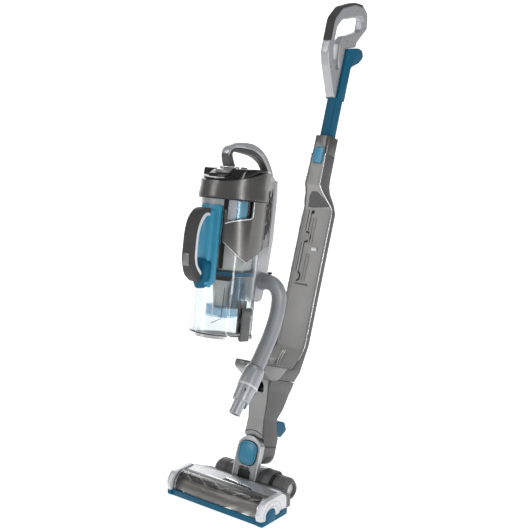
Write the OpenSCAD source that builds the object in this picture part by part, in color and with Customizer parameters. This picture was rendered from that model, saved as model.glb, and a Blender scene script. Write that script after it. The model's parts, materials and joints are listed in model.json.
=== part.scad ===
// Cordless stick vacuum: motorised floor head, docking spine and a portable suction unit.
// Millimetres. +X is to the right, -Y is the front, +Z is up, and z = 0 is the floor.
// Side outlines are written as [forward, up, corner radius].

/* [Floor head] */
// Overall width of the floor head
head_w = 268; // [262:1:272]
// Width of each end cap
cap_w = 13; // [12:0.5:14]
// Radius of the brush roll over its bristles
brush_r = 22.8; // [22:0.1:23.2]
// Radius of the brush roll core
core_r = 13; // [12:0.5:15]
// Radius of the rear wheels
wheel_r = 26; // [25:0.5:26.5]
// Width of a rear wheel
wheel_w = 41; // [38:1:42]

/* [Spine] */
// Backward lean of the spine in degrees
lean = 19; // [19:1:19]
// Height of the recline axle above the floor
pivot_z = 45; // [45:1:45]
// Distance of the recline axle behind the origin
pivot_y = 20; // [20:1:20]
// Width of the docking tray
tray_w = 84; // [80:1:86]
// Width of the neck
neck_w = 52; // [48:1:54]
// Width of the lower wand tube
tube_w = 40; // [38:1:42]
// Width of the telescopic upper tube
upper_w = 34; // [32:1:35]
// Width of the handle loop
handle_w = 21; // [18:1:24]

/* [Portable unit] */
// Backward lean of the portable unit in degrees
unit_lean = 9.3; // [9.3:0.1:9.3]
// Outside radius of the dust bowl
bowl_r = 65; // [65:1:65]
// Wall of the dust bowl
bowl_wall = 2.2; // [1.8:0.2:2.6]
// Outside radius of the housing
housing_r = 70; // [69.5:0.5:70.5]
// Wall of the moulded shells
wall = 2.5; // [2.2:0.1:2.8]
// Diameter of the hose
hose_d = 33; // [31:1:34]

/* [Hidden] */

$fn = 64;
gap = 0.3;                        // clearance between bodies that move past each other
fit = 0.05;                       // radial clearance of a pin in its bore
cap_x = head_w / 2 - cap_w;       // inner face of an end cap
roll = [85, 23.3];                // brush axis: forward, up
chamber_r = 28;                   // inside radius of the brush chamber
wheel_c = [-23, 26];              // rear wheel axis: forward, up
wheel_x = 103.5 - wheel_w;        // inner face of a rear wheel
axle_r = 3;
pivot_r = 5;                      // recline pins
roller_c = [46, 7];               // front roller axis: forward, up
roller_r = 7;
motor_c = [30, 26];               // brush motor axis: forward, up
knuckle_s = 42;                   // swivel axis above the recline axle, along the spine
knuckle_r = 26;
plate_r = 36;                     // top of the yoke's front plate, about the swivel axis
swivel_r = 9;                     // swivel pin
shelf_top = 240;
cavity_x = 19.5;                  // half width of the space inside the neck
pedal_pin = [-15, 104];           // pedal axle: forward, along the spine
pedal_r = 2;
dock_s = 241.5;                   // base of the docked portable unit, along the spine
toe_hinge = [89, 236];            // forward, along the spine
toe_r = 1.5;
button_travel = 3;
unit_y = -91;                     // centre of the portable unit's base, as it is lifted off
unit_z = 386;
door_t = 8;                       // bin door thickness
bowl_top = 282;
housing_top = 344;
skirt_u = 284;                    // lower edge of the housing's front skirt
tail = [16, -102];                // centre of the housing's rear corner: x, forward
tail_r = 8;
strap_w = 36;                     // width of the back piece
loop_w = 20;                      // width of the carrying handle
latch_a = 5;                      // bearing of the bin latch round the bowl, from +X
latch_pin_r = 69.1;               // bin latch axle: distance from the bowl's axis, and height
latch_pin_u = 40;
door_pin = [-70, 4];              // bin door axle: x, height
// Centreline of the hose in the portable unit's frame: [x, forward, up]
HOSE = [[18.4, -100, 114], [25, -100, 114], [32, -100, 114], [39, -100.5, 114], [46, -101.5, 112],
    [52, -103, 108], [57, -105, 102], [60.5, -107, 94], [62, -108.5, 84], [62, -109, 72],
    [62, -108, 59], [62, -105.5, 45], [62, -101.5, 31], [62, -96.5, 17], [62.5, -90, 3],
    [63, -82, -11], [63.5, -73, -25], [64.5, -63.5, -39], [65.5, -53.5, -53], [66, -47.5, -61.5]];
NOZZLE_DIR = [0, 0.53, -0.848];   // direction of the nozzle below the hose
nozzle_pin = [-17, 62];           // nozzle latch axle, in the nozzle's own frame

// ---- outlines ----

// Corner list [x, y, r] with each corner replaced by an arc of radius r
function rounded(c, n = 5) = [for (i = [0:len(c) - 1]) let (
    q0 = c[(i + len(c) - 1) % len(c)], q1 = c[(i + 1) % len(c)],
    p = [c[i][0], c[i][1]], r = c[i][2],
    a = [q0[0], q0[1]] - p, b = [q1[0], q1[1]] - p,
    u = a / norm(a), v = b / norm(b), half = acos(u * v) / 2, w = 180 - 2 * half,
    m = p + (u + v) / max(norm(u + v), 0.001) * (r / sin(half)),
    s = p + u * (r / tan(half)) - m, e = p + v * (r / tan(half)) - m)
    each (r == 0 || norm(u + v) < 0.01 ? [p] :
        [for (k = [0:n]) m + (s * sin((1 - k / n) * w) + e * sin(k / n * w)) / sin(w)])];
// Points of an arc round c
function arc(c, r, a0, a1, n = 12) =
    [for (i = [0:n]) c + r * [cos(a0 + (a1 - a0) * i / n), sin(a0 + (a1 - a0) * i / n)]];

// Side outline [forward, up, r] made solid from x0 to x1
module side(c, x0, x1) side_points(rounded(c), x0, x1);
module side_points(p, x0, x1)
    translate([x0, 0, 0]) rotate([90, 0, 90]) linear_extrude(x1 - x0) polygon([for (q = p) [-q[0], q[1]]]);
// Front outline [x, up, r] made solid from forward f0 to f1
module front(c, f0, f1)
    translate([0, -f0, 0]) rotate([90, 0, 0]) linear_extrude(f1 - f0) polygon(rounded(c));
// Plan outline [x, forward, r] made solid from z0 to z1
module plan(c, z0, z1) plan_points(rounded(c), z0, z1);
module plan_points(p, z0, z1)
    translate([0, 0, z0]) linear_extrude(z1 - z0) polygon([for (q = p) [q[0], -q[1]]]);
// Cylinder along X at [forward, up]
module rod(c, r, x0, x1)
    translate([x0, -c[0], c[1]]) rotate([0, 90, 0]) cylinder(h = x1 - x0, r = r);
// Cylinder along the forward direction at [x, up], from forward f0 to f1
module stud(c, r, f0, f1)
    translate([c[0], -f0, c[1]]) rotate([90, 0, 0]) cylinder(h = f1 - f0, r = r);
module both() { children(); mirror([1, 0, 0]) children(); }
module both_ways() { children(); mirror([0, 1, 0]) children(); }
module at_spine() translate([0, pivot_y, pivot_z]) rotate([-lean, 0, 0]) children();
module at_unit() translate([0, unit_y, unit_z]) rotate([-unit_lean, 0, 0]) children();

// ---- floor head ----

module head_shell() color("dimgray") difference() {
    union() {
        difference() {                                                  // rear duct and motor box
            side([[56, 6, 2], [56, 45.5, 2], [33, 45.5, 6], [6, 34, 3], [6, 6, 2]], -cap_x, cap_x);
            side([[53.5, 9, 1], [53.5, 43, 1], [34, 43, 4], [9, 32, 2], [9, 9, 1]], 4 - cap_x, cap_x - 4);
        }
        both() side([[117, 6, 2], [117, 17, 4], [113, 36, 10], [92, 45.5, 8], [54, 45.5, 2], [54, 6, 2]],
            cap_x - 4, cap_x);
        both() side([[8, 6, 2], [8, 40, 8], [-6, 55, 10], [-42, 55, 12], [-50, 30, 10], [-36, 6, 5]], 30, 60);
        side([[30, 6, 1], [30, 9, 1], [-32, 9, 1], [-32, 6, 1]], -31, 31);
        side([[117, 6, 1], [117, 13, 2], [110, 13, 2], [110, 6, 1]], -cap_x, cap_x);
        both() side([[56, 6, 0], [56, 17, 3], [36, 17, 3], [36, 6, 0]], 80, 100);
    }
    translate([-32, -56.5, 12]) cube([64, 4, 26]);                      // suction slot into the duct
    translate([-29.7, -24, 10]) cube([59.4, 60, 60]);                   // room for the yoke
    translate([4 - cap_x, -57, 10]) cube([14, 5, 30]);                  // belt slot
    both() side([[54, 5, 0], [54, 15.5, 2], [38, 15.5, 2], [38, 5, 0]], 82.5, 97.5);
    both() rod(roll, 6, cap_x - 5, cap_x + 1);
    both() rod(wheel_c, axle_r, 36, 61);
    both() rod([-pivot_y, pivot_z], pivot_r, 29, 42);
    both() rod(roller_c, 1.5, 79, 101);
}

module sole_plate() color("gray") difference() {
    plan([[-cap_x, 117, 4], [cap_x, 117, 4], [cap_x, 32, 4], [-cap_x, 32, 4]], 3, 6);
    plan([[-112, 108, 4], [112, 108, 4], [112, 62, 4], [-112, 62, 4]], 2, 7);
    both() translate([78.5, -54, 2]) cube([23, 16, 5]);
}

module glide_pad() color("black")
    plan([[-26, 14, 4], [26, 14, 4], [26, -14, 4], [-26, -14, 4]], 0, 6);

module head_cover() color("silver") difference() {
    side([[84, 45.5, 0.5], [84, 50, 2], [46, 51, 6], [33, 48.5, 2], [33, 45.5, 0.5]], -cap_x, cap_x);
    rod(roll, brush_r + gap, -cap_x - 1, cap_x + 1);
}

module rear_cover() color([0.3, 0.3, 0.3]) difference() {
    side([[33, 45.5, 0.5], [33, 48.5, 1], [4, 37, 3], [4, 33, 0.5], [6, 34, 1]], -106, 106);
    translate([-61, -9, 20]) cube([122, 30, 60]);
    translate([-29.7, -24, 20]) cube([59.4, 30, 60]);
}

module head_window() color([0.3, 0.3, 0.32, 0.6]) difference() {
    side_points(concat([[115.5, 13.5]], arc([85, 21], 30.5, 0, 90, 10), [[84.3, 51.5]],
        [[84.3, 46]], arc([85, 18], chamber_r, 90, 5, 10), [[112.9, 13.5]]), 0.4 - cap_x, cap_x - 0.4);
    both() side([[117, 5, 2], [117, 17.3, 4], [113, 36.3, 10], [92, 45.9, 8], [53, 45.9, 2], [53, 5, 2]],
        cap_x - 4.3, cap_x + 1);
}

module front_bumper() color("teal")
    side([[121, 4, 1.5], [120, 17, 1.5], [117, 18, 0.5], [117, 4, 0.5]], -cap_x, cap_x);

// One end cap; its outer face is crowned by the rounded corners of the plan
module end_cap() intersection() {
    side([[124, 16.5, 1], [127, 30, 14], [108, 53.5, 16], [46, 53.5, 16], [31, 34, 8], [32, 14, 1],
        [76, 14, 1], [112, 14, 1]], cap_x, head_w / 2);
    plan([[cap_x, 128, 1], [head_w / 2, 124, 10], [head_w / 2, 33, 8], [cap_x, 30, 1]], 0, 60);
}
module end_cap_right() color("white") end_cap();
module end_cap_left() color("white") mirror([1, 0, 0]) end_cap();

module cap_bumpers() color("teal") both() intersection() {
    side([[124, 4, 4], [124, 16.3, 1], [112, 13.8, 1], [76, 13.8, 1], [32, 13.8, 1], [32, 6, 2], [38, 4, 2]],
        cap_x, head_w / 2 + 1);
    plan([[cap_x, 126, 1], [head_w / 2 + 1, 124, 10], [head_w / 2 + 1, 33, 8], [cap_x, 30, 1]], 0, 60);
}

module brush_roll() color("dimgray") {
    rod(roll, core_r, -102, 112);
    rod(roll, 15, -114, -105);
    rod(roll, 6 - fit, -cap_x + 0.5, cap_x - 0.5);
}

// Two opposed spiral rows of tufts, as straight fins set round the core
module brush_bristles() color("black") for (k = [0:5])
    translate([0, -roll[0], roll[1]]) rotate([60 * k, 0, 0])
        translate([-100, -1.5, core_r]) cube([210, 3, brush_r - core_r - 0.4]);

module brush_motor() color("gray") {
    rod(motor_c, 13, -79, -40);
    rod(motor_c, 5, -40, -34);
    rod(motor_c, 1.5, -116, -79);
}

module motor_pulley() color("black") difference() {
    rod(motor_c, 6, -113, -105.5);
    rod(motor_c, 1.5 + fit, -115, -104);
}

module drive_belt() color("black") difference() {
    hull() { rod(roll, 16.8, -112.5, -106); rod(motor_c, 7.8, -112.5, -106); }
    hull() { rod(roll, 15.3, -113, -105); rod(motor_c, 6.3, -113, -105); }
}

// Rear wheel, outer face towards +X
module rear_wheel() translate([wheel_x, -wheel_c[0], wheel_c[1]]) rotate([0, 90, 0]) rotate_extrude()
    polygon(rounded([[axle_r + fit, 0, 0], [wheel_r - 4, 0, 2], [wheel_r, 6, 6], [wheel_r, wheel_w - 9, 9],
        [wheel_r - 7, wheel_w, 2], [15, wheel_w, 1.5], [14, wheel_w - 8.5, 1],
        [axle_r + fit, wheel_w - 8.5, 0]]));
module rear_wheel_right() color("dimgray") rear_wheel();
module rear_wheel_left() color("dimgray") mirror([1, 0, 0]) rear_wheel();

module front_rollers() color("black") both() difference() {
    rod(roller_c, roller_r, 83, 97);
    rod(roller_c, 1.5 + fit, 82, 98);
}

module head_pins() color("silver") both() {
    rod(wheel_c, axle_r, 36, wheel_x + wheel_w - 9.5);
    rod([-pivot_y, pivot_z], pivot_r, 16, 42);
    rod(roller_c, 1.5, 79, 101);
}

// ---- yoke and neck, in the spine's frame ----

module yoke() color("silver") at_spine() difference() {
    union() {
        intersection() {                                                // front plate
            front([[-28, -22, 5], [-31, 40, 0], [-31, 82, 0], [31, 82, 0], [31, 40, 0], [28, -22, 5]], 21, 36);
            union() {
                stud([0, knuckle_s], plate_r, 20, 37);
                front([[-32, -24, 0], [-32, 44, 0], [32, 44, 0], [32, -24, 0]], 20, 37);
            }
        }
        side([[24, 13, 2], [24, -16, 4], [10, -22, 8], [-20, -22, 12], [-29, 0, 10], [-29, 13, 3]], -28, 28);
        stud([0, knuckle_s], swivel_r - fit, -30, 22);
    }
    front([[-17, -30, 0], [-17, 10, 3], [12, 10, 3], [12, -30, 0]], 23, 40);    // slot between the legs
    both() rod([0, 0], pivot_r + fit, 15, 30);
    front([[-12, -14, 3], [-12, 8, 3], [12, 8, 3], [12, -14, 3]], -31, 14);
}

module swivel_disc() color("steelblue") at_spine()
    front([[-23, 18, 9], [-23, 60, 14], [0, 69, 16], [23, 60, 14], [23, 18, 9], [0, 12, 16]], 36, 40);

module neck() color([0.35, 0.35, 0.36]) at_spine() difference() {
    union() {
        stud([0, knuckle_s], knuckle_r, -30, 20.5);
        intersection() {
            side([[20.5, 44, 0], [20.5, 76, 0], [27, 78, 2], [31, 116, 20], [37, 154, 30], [47, 198, 3],
                [47, 210.2, 1], [-38, 210.2, 1], [-39, 190, 20], [-27, 146, 20], [-14, 120, 16], [-22, 96, 10],
                [-30, 78, 8], [-30, 44, 0]], -60, 60);
            front(mirrored([[neck_w / 2, 40, 0], [neck_w / 2, 84, 10], [neck_w / 2 - 3, 118, 20],
                [neck_w / 2, 150, 20], [neck_w / 2 + 1, 184, 20], [neck_w / 2 + 8, 212, 0]]), -80, 80);
        }
    }
    stud([0, knuckle_s], 38.5, 20.6, 60);
    stud([0, knuckle_s], swivel_r, -31, 21);
    both() translate([knuckle_r, -32, 30]) cube([20, 80, 40]);
    side([[22, 90, 4], [26, 120, 20], [32, 156, 30], [40, 195, 10], [40, 212, 0], [-30, 212, 0],
        [-32, 190, 16], [-20, 146, 20], [-6, 118, 16], [-14, 90, 4]], -cavity_x, cavity_x);
    front([[-13, 178, 4], [-13, 196, 12], [0, 209, 12], [15, 196, 12], [15, 178, 4]], 30, 60);
    front([[-14, 80.5, 1.5], [-14, 112, 3], [14, 112, 3], [14, 80.5, 1.5]], -60, -8);
    rod(pedal_pin, pedal_r + fit, -18, 18);
}

module neck_panel() color("darkgray") at_spine() difference() {
    intersection() {
        side([[27, 78, 0], [31, 116, 20], [37, 154, 30], [47, 198, 3], [47, 208, 0], [49.5, 208, 0],
            [49.5, 196, 3], [39.5, 154, 30], [33.5, 116, 20], [30, 78, 0]], -neck_w / 2, neck_w / 2);
        front(mirrored([[neck_w / 2 - 2, 78, 2], [neck_w / 2 - 5, 118, 20], [neck_w / 2 - 2, 156, 20],
            [neck_w / 2 - 1, 208, 0]]), 20, 60);
    }
    stud([0, knuckle_s], 38.5, 20, 60);
    front([[-13, 178, 4], [-13, 196, 12], [0, 209, 12], [15, 196, 12], [15, 178, 4]], 30, 60);
}

// Air duct from the swivel up to the hose port under the shelf
module suction_duct() color("gray") at_spine() difference() {
    side([[18, 92, 4], [22, 120, 20], [27, 156, 30], [30, 190, 10], [36, 205, 2], [-10, 205, 8],
        [-14, 190, 16], [-4, 146, 20], [2, 118, 16], [-4, 92, 4]], -18, 18);
    side([[15, 91, 0], [19, 120, 18], [24, 156, 28], [28, 188, 8], [38, 190, 0], [38, 202, 0], [-7, 202, 6],
        [-11, 190, 16], [-1, 146, 20], [5, 118, 14], [-1, 91, 0]], -15.5, 15.5);
}

// Foot pedal at the back of the neck
module foot_pedal() color("teal") at_spine() {
    side([[-12, 86, 2], [-12, 108, 3], [-24, 110, 2], [-34, 116, 4], [-62, 116, 6], [-76, 98, 5],
        [-58, 80, 6], [-32, 84, 4]], -12.5, 12.5);
    rod(pedal_pin, pedal_r, -17.5, 17.5);
}

// ---- dock ----

module shelf() color("darkgray") at_spine() difference() {
    side([[94, shelf_top, 3], [94, 224, 10], [64, 209, 8], [38, 211.5, 2], [9, shelf_top - 1, 2]],
        -tray_w / 2, tray_w / 2);
    side([[82, shelf_top + 1, 0], [82, 226, 8], [62, 214, 6], [40, 216, 2], [17, shelf_top - 2, 0],
        [17, shelf_top + 1, 0]], -tray_w / 2 + 3, tray_w / 2 - 3);
    side([[96, 232, 1], [96, shelf_top + 1, 0], [84, shelf_top + 1, 0], [84, 232, 1]], -13, 13);
    rod(toe_hinge, toe_r + fit, -17.5, 17.5);
}

// Toe that the portable unit tips back on as it docks
module dock_toe() color("gray") at_spine() difference() {
    union() {
        side([[93, 233, 1], [93, 239, 2], [85, 239, 2], [85, 233, 1]], -12.5, 12.5);
        rod(toe_hinge, toe_r, -17, 17);
    }
    front([[-5, 235, 1], [-5, 241, 0], [5, 241, 0], [5, 235, 1]], 91, 96);
}

// Width of the tray against height, right half; it flares above the neck and narrows to the tube
function tray_half(grow) = [[neck_w / 2 + 6 + grow, 208, 0], [tray_w / 2 + grow, 236, 14],
    [tray_w / 2 + grow, 606, 20], [tube_w / 2 + 2 + grow, 652, 16], [tube_w / 2 + grow, 690, 8],
    [tube_w / 2 + grow, 735, 0]];
function mirrored(c) = concat(c, [for (i = [len(c) - 1:-1:0]) [-c[i][0], c[i][1], c[i][2]]]);

module tray_back() color([0.33, 0.33, 0.34]) at_spine() difference() {
    intersection() {
        side([[-38, 211.3, 0], [38, 211.3, 0], [8, 236, 4], [-12, 240, 10], [-41, 286, 16],
            [-41, 612, 20], [0, 662, 14], [0, 735, 0], [-38, 735, 0], [-38, 668, 20], [-54, 628, 20],
            [-54, 300, 20], [-41, 240, 20]], -60, 60);
        front(mirrored(tray_half(0)), -80, 60);
    }
    intersection() {
        side([[60, 214, 0], [60, 736, 0], [-36, 736, 0], [-36, 669, 20], [-51.5, 628, 20],
            [-51.5, 300, 20], [-38.5, 240, 20], [-33, 214, 2]], -60, 60);
        front(mirrored([for (c = tray_half(-wall)) [c[0], c[1] > 700 ? 737 : max(c[1], 214), c[2]]]), -80, 62);
    }
    plan([[3, -36, 0], [19, -36, 0], [19, -70, 0], [3, -70, 0]], 627, 651);
}

module tray_front() color("gray") at_spine() intersection() {
    difference() {
        side([[9, 237, 0], [-12.5, 241, 10], [-42.5, 288, 16], [-42.5, 612, 20], [-0.8, 662, 14],
            [-0.8, 734.5, 0], [-3.6, 734.5, 0], [-3.6, 664, 14], [-45.5, 614, 20], [-45.5, 287, 16],
            [-15, 238.5, 10], [7, 234, 0]], -60, 60);
        front([[-13, 712, 3], [-13, 736, 0], [13, 736, 0], [13, 712, 3]], -10, 10);
    }
    front(mirrored(tray_half(-wall - 0.1)), -80, 62);
}

// Two upright rails on the tray floor that guide the portable unit
module dock_rails() color("dimgray") at_spine() for (x = [-10, -2]) {
    side([[-40.5, 442, 0.5], [-40.5, 506, 0.5], [-42.5, 506, 0], [-42.5, 442, 0]], x, x + 3);
    side([[-40.5, 530, 0.5], [-40.5, 590, 0.5], [-42.5, 590, 0], [-42.5, 530, 0]], x, x + 3);
}

module dock_hook() color("white") at_spine() {
    side([[-42.5, 514, 0], [-38.5, 514, 0.5], [-36, 520, 1], [-37.5, 523, 0.5], [-39, 519, 0.5], [-42.5, 519, 0]],
        6, 20);
}

// Release button on the back of the tray's upper end
module release_button() color("teal") at_spine()
    side([[-46, 628, 0], [-42, 650, 0], [-50, 650, 2], [-59, 640, 4], [-60, 632, 3], [-54, 628, 1]], 4, 18);

// ---- wand, in the spine's frame ----

// Rounded tube section between two heights: half width, forward from b to f
module oval(hw, b, f, r, s0, s1)
    plan([[-hw, f, r], [hw, f, r], [hw, b, r], [-hw, b, r]], s0, s1);

module wand_collar() color("gray") at_spine() difference() {
    oval(22, -41, 1, 10, 735, 777);
    oval(upper_w / 2 + gap, -34 - gap, -8 + gap, 9, 734, 778);
    front([[-13, 734, 0], [-13, 750, 3], [13, 750, 3], [13, 734, 0]], -9, 6);
}

// Sprung button that frees the telescopic tube
module latch_button() color("steelblue") at_spine()
    front([[-12.5, 712.5, 4], [-12.5, 749.5, 3], [12.5, 749.5, 3], [12.5, 712.5, 4]], -4, 2.5);

module upper_tube() color("steelblue") at_spine() difference() {
    union() {
        oval(upper_w / 2, -34, -8, 9, 742, 868);
        side([[-7, 867, 0], [-7, 984, 2], [-46, 1001, 10], [-66, 1003, 12], [-75, 988, 8], [-62, 970, 8],
            [-34, 950, 8], [-34, 867, 0]], -upper_w / 2, upper_w / 2);
    }
    oval(upper_w / 2 - 2, -32, -10, 7, 741, 980);
}

// Handle loop: a D opening on top runs down into a tapered finger slot
module handle_frame() color("silver") at_spine() difference() {
    side([[4, 868.5, 1], [45, 929, 40], [58, 958, 30], [58, 1036, 26], [36, 1070, 26], [-10, 1097, 40],
        [-42, 1104, 16], [-68, 1092, 16], [-77, 1058, 14], [-62, 1038, 12], [-46, 1014, 8],
        [-46, 1003.5, 2], [-6, 986.5, 2], [-6, 868.5, 1]], -handle_w / 2, handle_w / 2);
    side([[41, 970, 20], [42, 1020, 14], [28, 1042, 12], [-38, 1074, 14], [-54, 1078, 10], [-56, 1046, 8],
        [-20, 1024, 30], [6, 1010, 14], [19, 990, 14], [12, 950, 30], [2, 934, 2], [14, 928, 2],
        [33, 950, 20]], -handle_w, handle_w);
    side([[90, 983, 0], [90, 1110, 0], [-43, 1112, 0], [-43, 1099, 0], [-12, 1093, 36], [33.5, 1066.5, 24],
        [54.5, 1034, 24], [54.5, 983, 0]], -handle_w, handle_w);
}

// Soft grip over the front and the top of the handle
module handle_grip() color([0.2, 0.2, 0.2]) at_spine()
    side([[58.5, 983.5, 1], [58.5, 1036, 26], [36.3, 1070.4, 26], [-10, 1097.5, 40], [-42.5, 1104.4, 2],
        [-42.5, 1099.4, 0], [-12, 1093.4, 36], [33.8, 1066.9, 24], [55, 1034, 24], [55, 983.5, 1]],
        -handle_w / 2 - 0.4, handle_w / 2 + 0.4);

// ---- portable unit, in its own frame ----

// Plan of the housing: a round front with straight sides to a narrow back; g shrinks it
tail_a = atan2(tail[1], tail[0]) + acos((housing_r - tail_r) / norm(tail));
function housing_plan(g) = concat(arc([0, 0], housing_r - g, tail_a, 180 - tail_a, 48),
    arc([-tail[0], tail[1]], tail_r - g, 180 - tail_a, 270, 5), arc(tail, tail_r - g, 270, 360 + tail_a, 5));

// What the housing keeps below its skirt: the sides and back, cut to a slanted lower edge
module housing_zone() {
    translate([-90, -120, skirt_u]) cube([180, 260, 80]);
    side([[-120, 190, 0], [-34, 185, 10], [0, 172, 8], [24, 158, 6], [60, 196, 4], [60, skirt_u + 1, 0],
        [-120, skirt_u + 1, 0]], -90, 90);
}

module housing() color([0.38, 0.38, 0.38]) at_unit() difference() {
    union() {
        intersection() {
            plan_points(housing_plan(0), 150, housing_top - 2);
            housing_zone();
            side([[-120, 150, 0], [-120, 330, 4], [-60, 342, 20], [-10, 341, 20], [68, 317, 6], [78, 284, 0],
                [78, 150, 0]], -90, 90);
        }
        translate([0, 0, skirt_u]) rotate_extrude() polygon([[60, 0], [73, 0], [73, 3], [69, 34], [60, 34]]);
    }
    intersection() {
        plan_points(housing_plan(wall), 140, 336);
        side([[-120, 140, 0], [-120, 325, 4], [-60, 338, 20], [-10, 337, 20], [62, 312, 6], [90, 283, 0],
            [90, 140, 0]], -90, 90);
    }
    both() side([[17, 248, 6], [40, 246, 4], [58, 236, 3], [62, 285, 1], [17, 285, 3]], 20, 90);
    translate([0, 0, 283]) cylinder(h = 20, r = bowl_r + 1);
}

module top_panel() color([0.1, 0.1, 0.1]) at_unit() difference() {
    intersection() {
        plan_points(housing_plan(4), 305, 352);
        side([[-68, 343.2, 0], [-10, 341.5, 20], [68, 317.5, 0], [68, 322, 0], [46, 329, 4], [34, 344, 6],
            [10, 347, 6], [-40, 347.6, 0], [-68, 346.4, 0]], -62, 62);
    }
    front([[22, 343, 2], [22, 360, 0], [46, 360, 0], [46, 343, 2]], 2, 14);
    front([[-10, 345.5, 0], [-10, 360, 0], [10, 360, 0], [10, 345.5, 0]], 13, 32);
}

module power_switch() color("gray") at_unit()
    front([[22.4, 343.5, 1], [22.4, 349.5, 2], [32, 349.5, 2], [32, 343.5, 1]], 2.5, 13.5);

// Arched carrying handle from the front post over to the back piece
module carry_handle() color("silver") at_unit()
    side([[31, 346, 1], [43, 370, 14], [39, 389, 14], [6, 401.5, 40], [-40, 402, 50], [-84, 382, 50],
        [-110, 350, 40], [-121, 331, 1], [-110.6, 331.2, 0], [-97, 352, 30], [-89, 364, 20], [-58, 374, 40],
        [-8, 381, 40], [29, 379, 7], [14, 346, 1]], -loop_w / 2, loop_w / 2);

// Silver back piece that runs down the back and carries the hose port
module back_piece() color("silver") at_unit() difference() {
    side([[-110.4, 330.6, 1], [-121, 330.6, 2], [-125, 300, 40], [-125, 200, 60], [-117, 130, 60],
        [-106, 70, 12], [-76, 68, 12], [-76, 160, 40], [-84, 186, 8], [-110.4, 188.8, 0]],
        -strap_w / 2, strap_w / 2);
    side([[-81, 178, 6], [-79, 160, 20], [-79, 76, 8], [-101, 76, 8], [-110, 130, 30], [-113, 180, 6]],
        -strap_w / 2 + 3, strap_w / 2 - 3);
    translate([HOSE[0][0] - 5, -HOSE[0][1], HOSE[0][2]]) rotate([0, 90, 0]) cylinder(h = 8, r = 11);
}

module suction_motor() color("gainsboro") at_unit() {
    translate([0, 0, 246]) cylinder(h = 44, r = 44);
    translate([0, 0, 240]) cylinder(h = 6, r = 20);
    translate([0, 0, 226]) cylinder(h = 15, r = 2 - fit);
}

module impeller() color("silver") at_unit() difference() {
    union() {
        translate([0, 0, 228]) cylinder(h = 3, r = 38);
        translate([0, 0, 228]) cylinder(h = 10, r = 8);
        for (k = [0:8]) rotate([0, 0, 40 * k]) translate([7, -0.8, 230.9]) cube([29, 1.6, 6]);
    }
    translate([0, 0, 220]) cylinder(h = 30, r = 2);
}

module battery_pack() color([0.15, 0.15, 0.15]) at_unit()
    side([[-72.5, 196, 2], [-72.5, 318, 2], [-104, 318, 2], [-104, 196, 2]], -18, 18);

module circuit_board() color("green") at_unit()
    plan([[-40, 36, 4], [40, 36, 4], [40, -40, 4], [-40, -40, 4]], 300, 301.6);

// Silver and blue cup that holds the filters, seen through the side windows
module filter_cup() color("steelblue") at_unit() translate([0, 0, 206]) rotate_extrude()
    polygon([[50, 0], [61.5, 0], [61.5, 80], [59.5, 80], [59.5, 3], [50, 3]]);

// Cone, shroud and lower cup of the cyclone
module cyclone() color("lightsteelblue") at_unit() rotate_extrude()
    polygon([[8, 42], [34.5, 42], [35.5, 44], [35.5, 66], [33.5, 66], [33, 46], [12, 46], [12, 66], [24, 66],
        [30, 106], [46, 128], [58, 132], [58, 204], [56, 204], [56, 134], [44, 130], [27, 106], [22, 68],
        [8, 68]]);

module dust_bowl() color([0.85, 0.9, 0.92, 0.35]) at_unit() difference() {
    union() {
        translate([0, 0, door_t + 0.3]) rotate_extrude()
            polygon([[bowl_r - bowl_wall, 0], [bowl_r, 0], [bowl_r, bowl_top - door_t],
                [bowl_r - bowl_wall, bowl_top - door_t]]);
        rotate([0, 0, -latch_a]) {
            translate([bowl_r - 1, -12, 66.5]) cube([6.6, 24, 17]);
            both_ways() translate([bowl_r - 1.6, 12.4, latch_pin_u - 5]) cube([8, 2.6, 10]);
            translate([latch_pin_r, 14.9, latch_pin_u]) rotate([90, 0, 0]) cylinder(h = 29.8, r = 1.2);
        }
        both_ways() {
            translate([door_pin[0] - 4, 9.4, 0.6]) cube([6.8, 3.6, 13.4]);
            translate([door_pin[0] - 4, 9.4, door_t + 0.3]) cube([11, 3.6, 6]);
        }
    }
    stud(door_pin, 2 + fit, -12.5, 12.5);
    cylinder(h = 300, r = bowl_r - bowl_wall);
}

// Panel on the front of the bowl that carries the grip
module bowl_panel() color("steelblue") at_unit() intersection() {
    difference() {
        union() {
            translate([0, 0, 100]) cylinder(h = 170, r = 72);
            front([[-14, 106, 8], [-14, 262, 8], [14, 262, 8], [14, 106, 8]], 60, 80);
        }
        cylinder(h = 300, r = bowl_r + 0.2);
        side([[60, 94, 0], [120, 94, 0], [120, 120, 0], [82, 108, 0], [60, 100, 0]], -30, 30);
    }
    front([[-24, 118, 10], [-24, 270, 4], [24, 270, 4], [24, 118, 10], [10, 97, 8], [-10, 97, 8]], 50, 130);
}

// Grip of the bowl: a soft bar standing off the panel
module bowl_grip() color([0.25, 0.25, 0.25]) at_unit() difference() {
    side([[80.2, 262, 6], [96, 262, 14], [126, 222, 30], [128, 160, 16], [120, 130, 10], [98.2, 112, 4],
        [90, 112, 0], [80.2, 120, 0]], -13, 13);
    side([[72.2, 242, 8], [88, 246, 14], [106, 214, 30], [108, 164, 16], [100, 143.2, 6], [72.2, 143.2, 2]],
        -20, 20);
    front([[-8, 144, 3], [-8, 170, 3], [8, 170, 3], [8, 144, 3]], 116.5, 140);
}

// Button on the grip that frees the bowl
module bowl_button() color("lightgray") at_unit()
    front([[-7.5, 144.5, 3], [-7.5, 169.5, 3], [7.5, 169.5, 3], [7.5, 144.5, 3]], 120.5, 128.5);

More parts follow.
